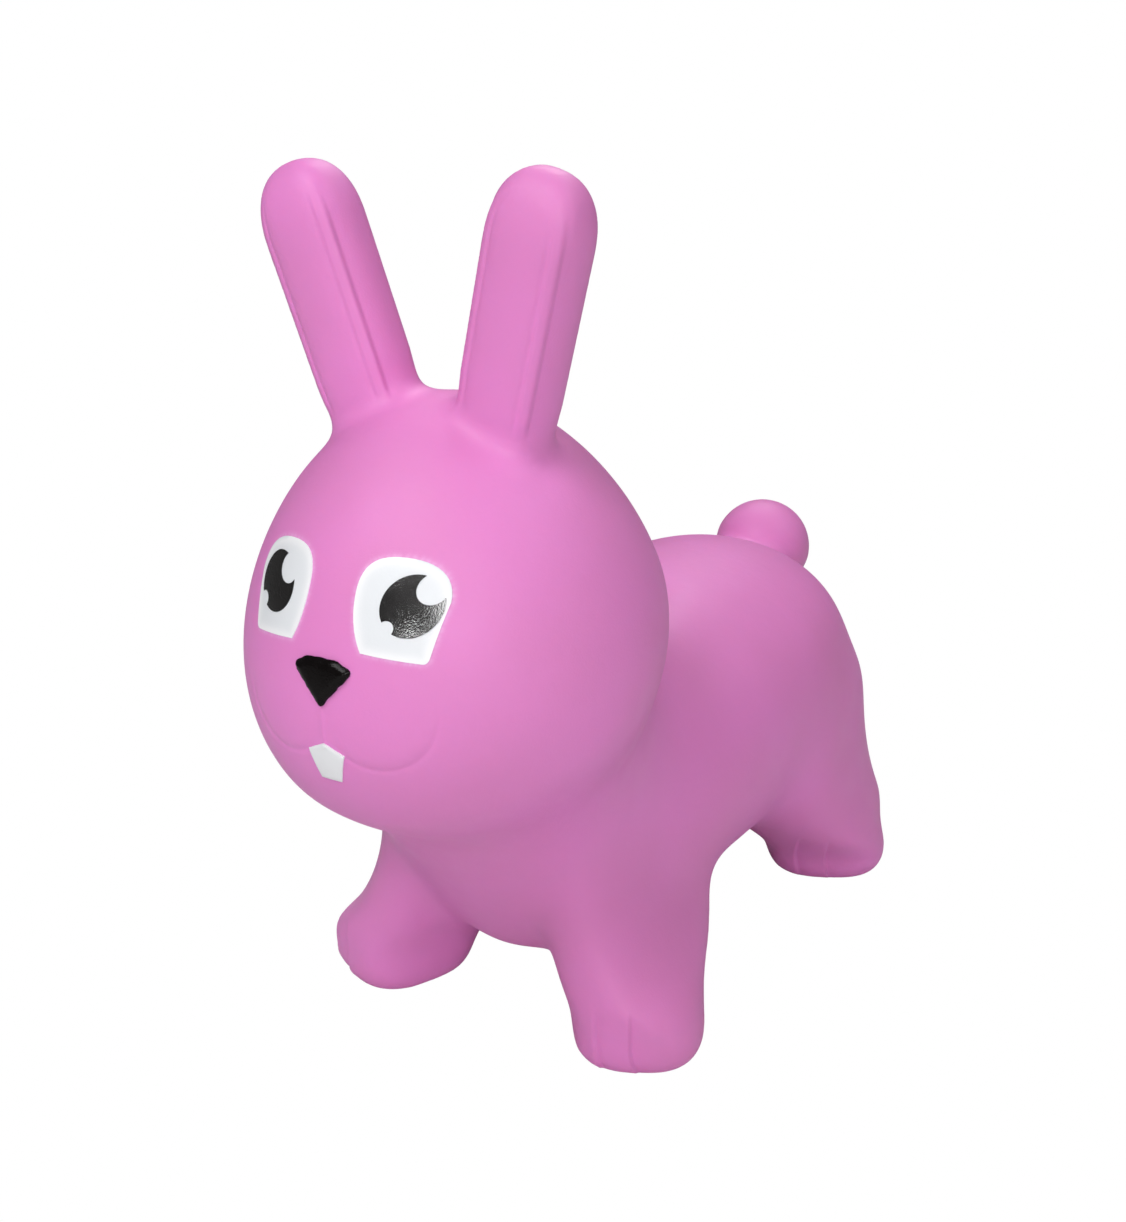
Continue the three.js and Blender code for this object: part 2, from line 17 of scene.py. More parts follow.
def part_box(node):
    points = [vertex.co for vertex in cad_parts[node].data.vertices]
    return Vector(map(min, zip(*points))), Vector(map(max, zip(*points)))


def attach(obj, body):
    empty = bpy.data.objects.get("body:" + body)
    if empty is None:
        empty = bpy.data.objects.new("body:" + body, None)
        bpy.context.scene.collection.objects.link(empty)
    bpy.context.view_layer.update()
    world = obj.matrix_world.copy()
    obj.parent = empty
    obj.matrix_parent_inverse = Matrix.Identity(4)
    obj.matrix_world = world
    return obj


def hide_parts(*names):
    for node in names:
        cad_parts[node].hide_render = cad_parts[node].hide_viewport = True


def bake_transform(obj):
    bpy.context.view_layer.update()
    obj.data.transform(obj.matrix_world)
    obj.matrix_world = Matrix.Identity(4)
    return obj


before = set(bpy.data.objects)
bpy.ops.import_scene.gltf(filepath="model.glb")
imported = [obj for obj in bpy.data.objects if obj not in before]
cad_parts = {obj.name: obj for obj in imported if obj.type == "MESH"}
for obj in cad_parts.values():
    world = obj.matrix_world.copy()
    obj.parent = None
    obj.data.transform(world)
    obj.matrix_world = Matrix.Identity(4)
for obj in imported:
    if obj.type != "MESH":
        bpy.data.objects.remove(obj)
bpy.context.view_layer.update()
bpy.ops.object.select_all(action="DESELECT")

# %% [markdown]
# ## Camera
# The photograph looks at the rabbit from its front left and a little from above. A camera can be
# placed by eye, but here its place, turn, dip and focal length were worked out once from the
# proportions in the picture, so that shapes can be compared pixel by pixel. The picture is taller
# than it is wide, so Blender lays the sensor's 36 mm along the height.

# %% Camera at the photograph's viewpoint
CAMERA_PLACE = (0.4805, -0.841, 0.560)
CAMERA_TURN = math.radians(31.3)
CAMERA_DIP = math.radians(18.6)
PICTURE_HEIGHT = 1222
FOCAL_LENGTH_PIXELS = 1559

bpy.ops.object.camera_add(
    location=CAMERA_PLACE,
    rotation=(math.pi / 2 - CAMERA_DIP, 0, CAMERA_TURN),
)
camera = bpy.context.object
camera.data.lens = camera.data.sensor_width * FOCAL_LENGTH_PIXELS / PICTURE_HEIGHT
bpy.context.scene.camera = camera
print("lens", round(camera.data.lens, 2), "mm")

# %% [markdown]
# ## Working by hand, in code
# Most steps below do what a modeller does with a mouse: take one object, add a modifier, apply it.
# Three helpers keep that short. An operator acts on everything that is selected, so each step first
# takes only its own object.

# %% Helpers for taking an object, applying a modifier and copying
def take(*objects):
    """Selects these objects and nothing else, and makes the last one active."""
    bpy.ops.object.select_all(action="DESELECT")
    for obj in objects:
        obj.select_set(True)
    bpy.context.view_layer.objects.active = objects[-1]


def apply_modifier(obj, kind, **settings):
    """Adds a modifier, sets it and applies it."""
    take(obj)
    modifier = obj.modifiers.new(kind.lower(), kind)
    for name, value in settings.items():
        setattr(modifier, name, value)
    bpy.ops.object.modifier_apply(modifier=modifier.name)


def copy_of(obj, name):
    """A copy with its own mesh, taken."""
    take(obj)
    bpy.ops.object.duplicate()
    copy = bpy.context.object
    copy.name = name
    return copy


# %% [markdown]
# ## The head's form
# The real skin is moulded in one piece, but it is easiest to think of it as a few plain forms that
# run into each other. The head is an egg, fuller at the cheeks than at the crown. A round ball with
# a Taper does that: the taper shrinks it evenly from chin to crown. A smaller ball under the chin is
# the throat, which fills the hollow between the head and the chest.

# %% Helper that sizes and places a round ball
def shape_ball(ball, name, half_size, middle, lean=0):
    """Stretches a ball of radius 1 to its half sizes, leans it forward and moves it to its middle."""
    ball.name = name
    ball.scale = half_size
    ball.rotation_euler = (lean, 0, 0)
    ball.location = middle
    bpy.ops.object.transform_apply(location=True, rotation=True, scale=True)
    print(name, len(ball.data.vertices), "points")


# %% Head
HEAD_SIZE = Vector((0.236, 0.244, 0.254))
HEAD_MIDDLE = Vector((0, -0.164, 0.280))
CHEEK_FULLNESS = 0.155
HEAD_LEAN = math.radians(9)

bpy.ops.mesh.primitive_uv_sphere_add(segments=96, ring_count=64, radius=1)
head_form = bpy.context.object
apply_modifier(
    head_form, "SIMPLE_DEFORM", deform_method="TAPER", deform_axis="Z", factor=-2 * CHEEK_FULLNESS
)
shape_ball(head_form, "head_form", HEAD_SIZE / 2, HEAD_MIDDLE, HEAD_LEAN)

# %% Throat
THROAT_HALF = (0.095, 0.080, 0.075)
THROAT_MIDDLE = (0, -0.118, 0.155)

bpy.ops.mesh.primitive_uv_sphere_add(segments=64, ring_count=32, radius=1)
throat_form = bpy.context.object
shape_ball(throat_form, "throat_form", THROAT_HALF, THROAT_MIDDLE)

# %% [markdown]
# ## Raising a form from a ring
# The barrel, the legs and the ears change their section as they go. A potter would raise such a wall
# ring by ring, and so does this helper: it adds a filled ring, then extrudes it from station to
# station and scales it to the size that it has there. A station is the middle of the ring and its
# two half sizes.

# %% Helper that extrudes a ring through stations
def mix(first, second, share):
    return first + (second - first) * share


def signed_power(value, exponent):
    return math.copysign(abs(value) ** exponent, value)


def angles_round(sides):
    return [2 * math.pi * side / sides for side in range(sides)]


def rounded_square(sides, power):
    """Points of a ring with half sizes 1. A power of 2 gives a circle, more makes it squarer."""
    return [
        (signed_power(math.cos(angle), 2 / power), signed_power(math.sin(angle), 2 / power))
        for angle in angles_round(sides)
    ]


def raise_form(name, ring, stations):
    """A closed form over a ring of points, extruded along Z through its stations."""
    bpy.ops.mesh.primitive_circle_add(vertices=len(ring), radius=1, fill_type="NGON")
    form = bpy.context.object
    form.name = name
    for vertex, (x, y) in zip(form.data.vertices, ring):
        vertex.co = (x, y, 0)
    bpy.ops.object.mode_set(mode="EDIT")
    last_middle, last_sizes = None, (1, 1)
    for middle, *sizes in stations:
        if last_middle is None:
            bpy.ops.transform.translate(value=middle)
        else:
            bpy.ops.mesh.extrude_region_move(TRANSFORM_OT_translate={"value": middle - last_middle})
        growth = (sizes[0] / last_sizes[0], sizes[1] / last_sizes[1], 1)
        bpy.ops.transform.resize(value=growth, center_override=middle)
        last_middle, last_sizes = middle, sizes
    bpy.ops.mesh.select_all(action="SELECT")
    bpy.ops.mesh.normals_make_consistent(inside=False)
    bpy.ops.object.mode_set(mode="OBJECT")
    print(name, len(form.data.vertices), "points")
    return form


# %% [markdown]
# ## The barrel
# The child sits on a barrel that widens and rises towards the rump. It is raised along Z like a pot
# and then laid down along Y. Its blunt ends follow a curve that is squarer than a circle.

# %% Torso
TORSO_LENGTH = 0.408
TORSO_Y = 0.041
CHEST_WIDTH = 0.190
RUMP_WIDTH = 0.260
WITHERS_HEIGHT = 0.214
SEAT_HEIGHT = 0.264
CHEST_CLEARANCE = 0.034
RUMP_CLEARANCE = 0.051
CHEST_SAG = 0.012
CHEST_SAG_ALONG = -0.72
CHEST_SAG_WIDTH = 0.3
TORSO_END_POWER = 2.8
TORSO_SECTION_POWER = 2.12
TORSO_SIDES = 96
TORSO_STATIONS = 48
TORSO_FIRST_ANGLE = 0.012


def bump(distance, width):
    return math.exp(-((distance / width) ** 2))


def underside(along):
    """Height of the belly, which sags by the chest, with along from -1 there to 1 at the rump."""
    sag = CHEST_SAG * bump(along - CHEST_SAG_ALONG, CHEST_SAG_WIDTH)
    return mix(CHEST_CLEARANCE, RUMP_CLEARANCE, (along + 1) / 2) - sag


def torso_station(angle):
    along = signed_power(math.cos(angle), 2 / TORSO_END_POWER)
    girth = math.sin(angle) ** (2 / TORSO_END_POWER)
    share = (along + 1) / 2
    top = mix(WITHERS_HEIGHT, SEAT_HEIGHT, share)
    bottom = underside(along)
    middle = Vector((0, (top + bottom) / 2, -TORSO_Y - TORSO_LENGTH / 2 * along))
    return middle, mix(CHEST_WIDTH, RUMP_WIDTH, share) / 2 * girth, (top - bottom) / 2 * girth


torso_angles = [
    mix(TORSO_FIRST_ANGLE, math.pi - TORSO_FIRST_ANGLE, step / (TORSO_STATIONS - 1))
    for step in range(TORSO_STATIONS)
]
torso_form = raise_form(
    "torso_form",
    rounded_square(TORSO_SIDES, TORSO_SECTION_POWER),
    [torso_station(angle) for angle in torso_angles],
)
torso_form.rotation_euler = (math.pi / 2, 0, 0)
bpy.ops.object.transform_apply(location=True, rotation=True, scale=True)

# %% [markdown]
# ## Legs
# The legs are short and stand wide. Each spreads from a blocky foot, whose toes point outwards, into
# a broad hip that ends inside the barrel. The front and hind legs differ only in their numbers, so one
# loop raises both on the left. The right legs are mirrored copies, and all four are joined into one
# helper object.

# %% Legs
FOOT_EDGE_IN = 0.012
FOOT_EDGE_UP = 0.016
FOOT_POWER = 2.7
FOOT_TURN = math.radians(28)
FOOT_TURN_FADE = 0.040
FOOT_BULGE = 0.002
FOOT_BULGE_HEIGHT = 0.045
FOOT_BULGE_WIDTH = 0.022
ANKLE_HEIGHT = 0.018
HIP_HEIGHT = 0.140
HIP_DOME = 0.060
LEG_SPREAD_POWER = 0.7
LEG_SIDES = 48
SOLE_STEPS = 8
LEG_STEPS = 24
DOME_STEPS = 8
DOME_LAST = 0.98

LEGS = {
    "front": {
        "foot": Vector((0.0885, -0.1075, 0)),
        "foot_half": (0.0405, 0.0435),
        "hip": Vector((0.057, -0.058, 0)),
        "hip_half": (0.027, 0.100),
    },
    "hind": {
        "foot": Vector((0.092, 0.181, 0)),
        "foot_half": (0.0445, 0.0455),
        "hip": Vector((0.052, 0.140, 0)),
        "hip_half": (0.067, 0.093),
    },
}
SIDES = {"left": 1, "right": -1}
MIRROR_X = Matrix.Diagonal((-1, 1, 1, 1))


def smoothstep(share):
    share = min(max(share, 0), 1)
    return share * share * (3 - 2 * share)


def leg_spread(height):
    """How far a leg has spread from the foot, at 0, to the hip, at 1."""
    share = (height - ANKLE_HEIGHT) / (HIP_HEIGHT - ANKLE_HEIGHT)
    return smoothstep(max(share, 0) ** LEG_SPREAD_POWER)


def leg_station(leg, height, inset=0, opening=1):
    spread = leg_spread(height)
    middle = leg["foot"].lerp(leg["hip"], spread) + Vector((0, 0, height))
    bulge = FOOT_BULGE * bump(height - FOOT_BULGE_HEIGHT, FOOT_BULGE_WIDTH)
    halves = [
        (mix(foot, hip, spread) + bulge - inset) * opening
        for foot, hip in zip(leg["foot_half"], leg["hip_half"])
    ]
    return middle, *halves


def leg_stations(leg):
    stations = []
    for step in range(SOLE_STEPS):
        angle = math.pi / 2 * step / SOLE_STEPS
        height = FOOT_EDGE_UP * (1 - math.cos(angle))
        stations.append(leg_station(leg, height, inset=FOOT_EDGE_IN * (1 - math.sin(angle))))
    for step in range(LEG_STEPS + 1):
        stations.append(leg_station(leg, mix(ANKLE_HEIGHT, HIP_HEIGHT, step / LEG_STEPS)))
    for step in range(1, DOME_STEPS + 1):
        angle = math.pi / 2 * DOME_LAST * step / DOME_STEPS
        height = HIP_HEIGHT + HIP_DOME * math.sin(angle)
        stations.append(leg_station(leg, height, opening=math.cos(angle)))
    return stations


def turn_out(form, leg):
    """Turns the foot of a raised leg about its own middle, and the leg above it less and less."""
    for vertex in form.data.vertices:
        fade = 1 - smoothstep((vertex.co.z - ANKLE_HEIGHT) / FOOT_TURN_FADE)
        turn = Matrix.Rotation(FOOT_TURN * fade, 3, "Z")
        middle = leg["foot"].lerp(leg["hip"], leg_spread(vertex.co.z))
        middle.z = vertex.co.z
        vertex.co = middle + turn @ (vertex.co - middle)


leg_forms = []
for word, leg in LEGS.items():
    left_form = raise_form(f"{word}_leg_form", rounded_square(LEG_SIDES, FOOT_POWER), leg_stations(leg))
    turn_out(left_form, leg)
    right_form = copy_of(left_form, f"{word}_leg_form_right")
    right_form.data.transform(MIRROR_X)
    right_form.data.flip_normals()
    leg_forms += [left_form, right_form]
take(*leg_forms)
bpy.ops.object.join()
legs_form = bpy.context.object

# %% [markdown]
# ## Ears and tail
# The ears are the handles. An ear has a convex front, flat sides and a round tip, and narrows a
# little towards its root. It is raised upright at the origin, then leaned out and forward and moved
# to its root. The tail is a ball that stands half out of the rump.

# %% Ears and tail
EAR_LENGTH = 0.160
EAR_HALF = (0.0268, 0.021)
EAR_SECTION_POWER = 3
EAR_ROOT_SHARE = 0.98
EAR_TIP = 0.036
EAR_TIP_POWER = 2.3
EAR_SIDES = 64
EAR_STATIONS = 40
EAR_ROOT = Vector((0.0345, -0.174, 0.371))
EAR_SPREAD = math.radians(16.5)
EAR_TILT = math.radians(6)
TAIL_DIAMETER = 0.074
TAIL_MIDDLE = (0, 0.2515, 0.216)


def ear_girth(height):
    """Share of its full girth that an ear has at a height above its root."""
    into_tip = max(0, height - (EAR_LENGTH - EAR_TIP)) / EAR_TIP
    below_tip = min(height / (EAR_LENGTH - EAR_TIP), 1)
    closing = (1 - min(into_tip, 1) ** EAR_TIP_POWER) ** (1 / EAR_TIP_POWER)
    return mix(EAR_ROOT_SHARE, 1, below_tip) * closing


def ear_station(step):
    height = EAR_LENGTH * (1 - (1 - step / EAR_STATIONS) ** 2)
    girth = ear_girth(height)
    return Vector((0, 0, height)), EAR_HALF[0] * girth, EAR_HALF[1] * girth


def ear_place(sign):
    """Matrix that takes an upright ear at the origin to its place on the head."""
    lean = Matrix.Rotation(sign * EAR_SPREAD, 4, "Y") @ Matrix.Rotation(EAR_TILT, 4, "X")
    root = Vector((sign * EAR_ROOT.x, EAR_ROOT.y, EAR_ROOT.z))
    return Matrix.Translation(root) @ lean


ear_forms = []
for side, sign in SIDES.items():
    ear_form = raise_form(
        f"ear_form_{side}",
        rounded_square(EAR_SIDES, EAR_SECTION_POWER),
        [ear_station(step) for step in range(EAR_STATIONS)],
    )
    ear_form.data.transform(ear_place(sign))
    ear_forms.append(ear_form)
take(*ear_forms)
bpy.ops.object.join()
ears_form = bpy.context.object

bpy.ops.mesh.primitive_ico_sphere_add(subdivisions=5, radius=TAIL_DIAMETER / 2, location=TAIL_MIDDLE)
tail_form = bpy.context.object
bpy.ops.object.transform_apply(location=True, rotation=True, scale=True)

# %% [markdown]
# ## One skin with soft creases
# Rotational moulding lays one unbroken layer of vinyl over the inside of the mould. To get one
# unbroken surface, copies of the forms are joined and remeshed into small even squares, which drops
# everything inside. Air pressure also rounds every inner corner. Where two forms meet, the points
# that lie near both of them are the crease. Vertex Weight Proximity measures that, once for each form,
# Vertex Weight Mix multiplies the two, and Smooth then works only there. More rounds give a wider
# fillet.

# %% Helpers for joining forms and rounding creases
def smooth(surface, rounds, group=""):
    """Moves points halfway to the middle of their neighbours, round by round, all or as a group says."""
    apply_modifier(surface, "SMOOTH", vertex_group=group, factor=0.5, iterations=rounds)


def joined(name, forms, square, rounds):
    """One closed surface of even squares over copies of some forms."""
    take(*forms)
    bpy.ops.object.duplicate()
    bpy.ops.object.join()
    surface = bpy.context.object
    surface.name = name
    apply_modifier(surface, "REMESH", mode="VOXEL", voxel_size=square, use_smooth_shade=True)
    smooth(surface, rounds)
    print(name, len(surface.data.polygons), "faces")
    return surface


def soften_crease(surface, first, second, reach, rounds):
    """Rounds a surface along the crease between two forms, fading out at a reach from it."""
    groups = [f"near_{first.name}", f"near_{second.name}"]
    for form, group in zip((first, second), groups):
        everywhere = range(len(surface.data.vertices))
        surface.vertex_groups.new(name=group).add(everywhere, 1, "REPLACE")
        apply_modifier(
            surface,
            "VERTEX_WEIGHT_PROXIMITY",
            vertex_group=group,
            target=form,
            proximity_mode="GEOMETRY",
            proximity_geometry={"FACE"},
            min_dist=reach,
            max_dist=0,
        )
    apply_modifier(
        surface,
        "VERTEX_WEIGHT_MIX",
        vertex_group_a=groups[0],
        vertex_group_b=groups[1],
        mix_mode="MUL",
        mix_set="ALL",
    )
    smooth(surface, rounds, groups[0])
    surface.vertex_groups.clear()


# %% Trunk, and then the whole skin
# The neck has by far the widest fillet. It is made on larger squares, where a round reaches further.
TRUNK_SQUARE = 0.005
SKIN_SQUARE = 0.0024

trunk = joined("trunk", [torso_form, head_form, throat_form], TRUNK_SQUARE, rounds=2)
soften_crease(trunk, torso_form, head_form, reach=0.110, rounds=1000)
skin = joined("skin", [trunk, legs_form, ears_form, tail_form], SKIN_SQUARE, rounds=8)
soften_crease(skin, torso_form, legs_form, reach=0.060, rounds=350)
soften_crease(skin, head_form, ears_form, reach=0.024, rounds=90)
soften_crease(skin, torso_form, tail_form, reach=0.014, rounds=35)
forms = [torso_form, head_form, throat_form, legs_form, ears_form, tail_form, trunk]
print("skin height", round(skin.dimensions.z, 4))

# %% [markdown]
# ## Fine relief
# The mould also has small marks: a panel with a rim on the front of each ear, two round lobes beside
# the mouth, and creases between the toes. They are finer than the squares of the skin, so the faces
# there are split in four first. Then each point is pushed along its normal by a height that a short
# function gives, as a sculpting brush would do it.

# %% Helpers for splitting faces and pushing points
def select_faces(obj, where):
    """Selects the faces for which a test of their middle and normal holds, ready for editing."""
    take(obj)
    bpy.ops.object.mode_set(mode="EDIT")
    bpy.ops.mesh.select_mode(type="FACE")
    bpy.ops.mesh.select_all(action="DESELECT")
    bpy.ops.object.mode_set(mode="OBJECT")
    for face in obj.data.polygons:
        face.select = where(face.center, face.normal)
    bpy.ops.object.mode_set(mode="EDIT")


def split_faces(where):
    select_faces(skin, where)
    bpy.ops.mesh.subdivide(number_cuts=1)
    bpy.ops.object.mode_set(mode="OBJECT")


def push_points(height_at):
    """Moves the skin's points along their normals by the height that a function gives."""
    normals = [vertex.normal.copy() for vertex in skin.data.vertices]
    for vertex, normal in zip(skin.data.vertices, normals):
        vertex.co += normal * height_at(vertex.co, normal)


# %% Panels and rims on the ears
EAR_PANEL_HALF = 0.0185
EAR_EDGE = 0.0262
EAR_GROOVE = 0.0004
EAR_RIM = 0.0007
EAR_CROWN = 0.0012
EAR_STEP = 0.0022
EAR_SIDE_DIP = 0.0016
EAR_SIDE_STEP = 0.005
EAR_SIDE_WIDTH = 0.018
EAR_CLEAR_OF_HEAD = 0.026
EAR_RIM_START = 0.012
EAR_RIM_FADE = 0.118
EAR_RIM_TOP = 0.150
EAR_FRONT_BELOW = 0.010
EAR_FRONT_HALF = 0.040
EAR_FRONT_BACK = 0.010
EAR_LEAST_GIRTH = 0.2

into_ear = {sign: ear_place(sign).inverted() for sign in SIDES.values()}


def side_of(place):
    """1 on the rabbit's left side and -1 on its right side."""
    return 1 if place.x > 0 else -1


def ear_local(place):
    return into_ear[side_of(place)] @ place


def on_ear_front(place, normal):
    local = ear_local(place)
    above_head = local.z > EAR_CLEAR_OF_HEAD - EAR_FRONT_BELOW
    return above_head and abs(local.x) < EAR_FRONT_HALF and local.y < EAR_FRONT_BACK


def ear_relief(place, normal):
    """Crown, groove, rim and hollow side, by the way round from the middle of the front."""
    if not on_ear_front(place, normal):
        return 0
    local = ear_local(place)
    girth = max(ear_girth(local.z), EAR_LEAST_GIRTH)
    around = (abs(local.x) + local.y) / girth + EAR_HALF[1]
    past_panel = smoothstep((around - EAR_PANEL_HALF) / EAR_STEP)
    past_edge = smoothstep((around - EAR_EDGE) / EAR_SIDE_STEP)
    side = past_edge * (1 - smoothstep((around - EAR_EDGE - EAR_SIDE_STEP) / EAR_SIDE_WIDTH))
    height = EAR_CROWN * max(0, 1 - (around / EAR_PANEL_HALF) ** 2)
    height += EAR_RIM * past_panel * (1 - past_edge) - EAR_SIDE_DIP * side
    height -= EAR_GROOVE * bump(around - EAR_PANEL_HALF, EAR_STEP / 2)
    below_tip = 1 - smoothstep((local.z - EAR_RIM_FADE) / (EAR_RIM_TOP - EAR_RIM_FADE))
    return height * below_tip * smoothstep((local.z - EAR_CLEAR_OF_HEAD) / EAR_RIM_START)


split_faces(on_ear_front)
push_points(ear_relief)

# %% Lobes beside the mouth
LOBE_ACROSS = 0.029
LOBE_HEIGHT = 0.265
LOBE_RADIUS = 0.031
LOBE_RISE = 0.0004
LOBE_EDGE = 0.006
LOBE_INNER = 0.004
LOBE_FADE_TOP = 0.274
LOBE_FADE = 0.032
LIP_GROOVE = 0.0004
LIP_WIDTH = 0.0013
LIP_PARTING = (0.243, 0.266)
PARTING_RISE = 0.0006
FACE_LOW = 0.212
FACE_HIGH = 0.352
FACE_HALF = 0.070
FACE_FACING = 0.2


def on_face(place, normal):
    in_front = place.y < HEAD_MIDDLE.y and -normal.y > FACE_FACING
    return in_front and abs(place.x) < FACE_HALF and FACE_LOW < place.z < FACE_HIGH


def muzzle_relief(place, normal):
    if not on_face(place, normal):
        return 0
    across = abs(place.x)
    outside = math.hypot(across - LOBE_ACROSS, place.z - LOBE_HEIGHT) - LOBE_RADIUS
    lobe = LOBE_RISE * smoothstep(-outside / LOBE_EDGE) - LIP_GROOVE * bump(outside, LIP_WIDTH)
    lobe *= smoothstep((across - LOBE_INNER) / LOBE_EDGE)
    lobe *= smoothstep((LOBE_FADE_TOP - place.z) / LOBE_FADE)
    if LIP_PARTING[0] < place.z < LIP_PARTING[1]:
        lobe += PARTING_RISE * bump(across, LIP_WIDTH)
    return lobe


split_faces(on_face)
push_points(muzzle_relief)

# %% Creases between the toes
# Each foot has two creases. A line is a crease's place across the turned foot, on the left side, 1, and on
# the right side, -1. The skin rises to a lip on one side of a line and drops on the other.
TOE_LINES = {1: (-0.0255, -0.0045), -1: (-0.0055, 0.0155)}
TOE_SWEEP = 0.006
TOE_SWEEP_HEIGHT = 0.028
TOE_TOP = 0.050
TOE_FADE = 0.014
TOE_SOLE = 0.006
TOE_LIP = 0.0008
TOE_LIP_WIDTH = 0.005
TOE_DROP = 0.0016
TOE_DROP_WIDTH = 0.007
TOE_EDGE = 0.0016
TOE_FACING = 0.3


def toe_facing(place, normal):
    """How far a point of the skin looks the way that the toes point, on either side of the toy."""
    mirrored = Vector((side_of(place) * normal.x, normal.y))
    return mirrored @ Vector((math.sin(FOOT_TURN), -math.cos(FOOT_TURN)))


def on_toes(place, normal):
    return place.z < TOE_TOP and toe_facing(place, normal) > TOE_FACING


def toe_relief(place, normal):
    if not on_toes(place, normal):
        return 0
    foot = LEGS["front" if place.y < TORSO_Y else "hind"]["foot"]
    from_foot = Vector((abs(place.x) - foot.x, place.y - foot.y))
    out = from_foot @ Vector((math.cos(FOOT_TURN), math.sin(FOOT_TURN)))
    sweep = TOE_SWEEP * (max(0, TOE_SWEEP_HEIGHT - place.z) / TOE_SWEEP_HEIGHT) ** 2
    height = 0
    for line in TOE_LINES[side_of(place)]:
        past = out - line - sweep
        edge = smoothstep((past + TOE_EDGE / 2) / TOE_EDGE)
        height += TOE_LIP * (1 - edge) * math.exp(min(past, 0) / TOE_LIP_WIDTH)
        height -= TOE_DROP * edge * math.exp(-max(past, 0) / TOE_DROP_WIDTH)
    fade = smoothstep((TOE_TOP - place.z) / TOE_FADE) * smoothstep(place.z / TOE_SOLE)
    return height * fade * smoothstep((toe_facing(place, normal) - TOE_FACING) / TOE_FACING)


split_faces(on_toes)
push_points(toe_relief)
print("skin with relief", len(skin.data.polygons), "faces")

# %% [markdown]
# ## Overspray
# The eyes were sprayed through a mask, and a little paint drifted under its edge. The skin remembers
# that as an attribute, 1 on the outline of an eye and 0 a few millimetres away, and the finish of the
# vinyl turns paler there.

# %% Outline of an eye, and how far the paint drifted
EYE_ACROSS = 0.037
EYE_HEIGHT = 0.317
EYE_HALF = (0.0225, 0.0245)
CURVE_STEPS = 14
DRIFT = 0.0016


def curve_through(*pieces):
    """Points along bezier pieces, each given by its start, two handles and its end."""
    points = []
    for piece in pieces:
        corners = [Vector((*corner, 0)) for corner in piece]
        points += [point.to_2d() for point in interpolate_bezier(*corners, CURVE_STEPS)[:-1]]
    return points


def straight(start, end):
    first, last = Vector(start), Vector(end)
    return start, tuple(first.lerp(last, 1 / 3)), tuple(first.lerp(last, 2 / 3)), end


def eye_outline(sign):
    """A field with a round top and a straight foot that drops a little towards the cheek."""
    shares = curve_through(
        straight((-0.68, -0.86), (0.64, -0.985)),
        ((0.64, -0.985), (0.75, -1), (0.79, -0.95), (0.81, -0.82)),
        straight((0.81, -0.82), (1, 0.2)),
        ((1, 0.2), (0.98, 0.72), (0.5, 1), (-0.22, 1)),
        ((-0.22, 1), (-0.78, 1), (-1, 0.75), (-1, 0.3)),
        ((-1, 0.3), (-1, -0.14), (-0.89, -0.52), (-0.68, -0.86)),
    )
    return [
        (sign * (EYE_ACROSS + EYE_HALF[0] * share.x), EYE_HEIGHT + EYE_HALF[1] * share.y)
        for share in shares
    ]


def search_tree(outline):
    """A tree that finds the nearest point of an outline in the front view."""
    tree = KDTree(len(outline))
    for index, (x, z) in enumerate(outline):
        tree.insert((x, 0, z), index)
    tree.balance()
    return tree


def distance_from(tree, place):
    """How far a place is from an outline, seen from the front."""
    _, _, distance = tree.find((place.x, 0, place.z))
    return distance


both_eyes = search_tree(eye_outline(SIDES["left"]) + eye_outline(SIDES["right"]))


def mark_outline(obj, name, width):
    """Gives points on the face an attribute, 1 on the outline of an eye, that fades over a width."""
    marks = obj.data.attributes.new(name, "FLOAT", "POINT")
    for vertex, mark in zip(obj.data.vertices, marks.data):
        if on_face(vertex.co, vertex.normal):
            mark.value = bump(distance_from(both_eyes, vertex.co), width)


mark_outline(skin, "overspray", DRIFT)

# %% [markdown]
# ## Valve
# The photograph doesn't show how the toy is pumped up, so the belly gets what such toys have: a milky
# bush that is pressed into a hole, and a push-in plug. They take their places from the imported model.
# Booleans drill the bore of the bush and the hole in the skin, while the skin is still one closed piece.

# %% Bush, plug and the hole that they sit in
VALVE_EDGE = 0.0006
FLANGE_THICKNESS = 0.002
NECK_RADIUS = 0.011
BORE_RADIUS = 0.0048
PEG_RADIUS = 0.0044
PLUG_HEAD_THICKNESS = 0.003
HOLE_GAP = 0.0004
DRILL_PAST = 0.004
VALVE_SIDES = 64
SHARP_ANGLE = math.radians(40)

seat_low, seat_high = (Vector(corner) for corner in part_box("valve_seat"))
plug_low, plug_high = (Vector(corner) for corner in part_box("valve_plug"))
flange_radius = (seat_high.x - seat_low.x) / 2
plug_radius = (plug_high.x - plug_low.x) / 2
flange_top = seat_low.z + FLANGE_THICKNESS
plug_head_top = plug_low.z + PLUG_HEAD_THICKNESS


def turned(name, *profile):
    """A form turned about the valve's axis, from pairs of radius and height."""
    y = (seat_low.y + seat_high.y) / 2
    stations = [(Vector((0, y, height)), radius, radius) for radius, height in profile]
    return raise_form(name, rounded_square(VALVE_SIDES, power=2), stations)


def drill(obj, tool):
    apply_modifier(obj, "BOOLEAN", operation="DIFFERENCE", object=tool)
    bpy.data.objects.remove(tool)


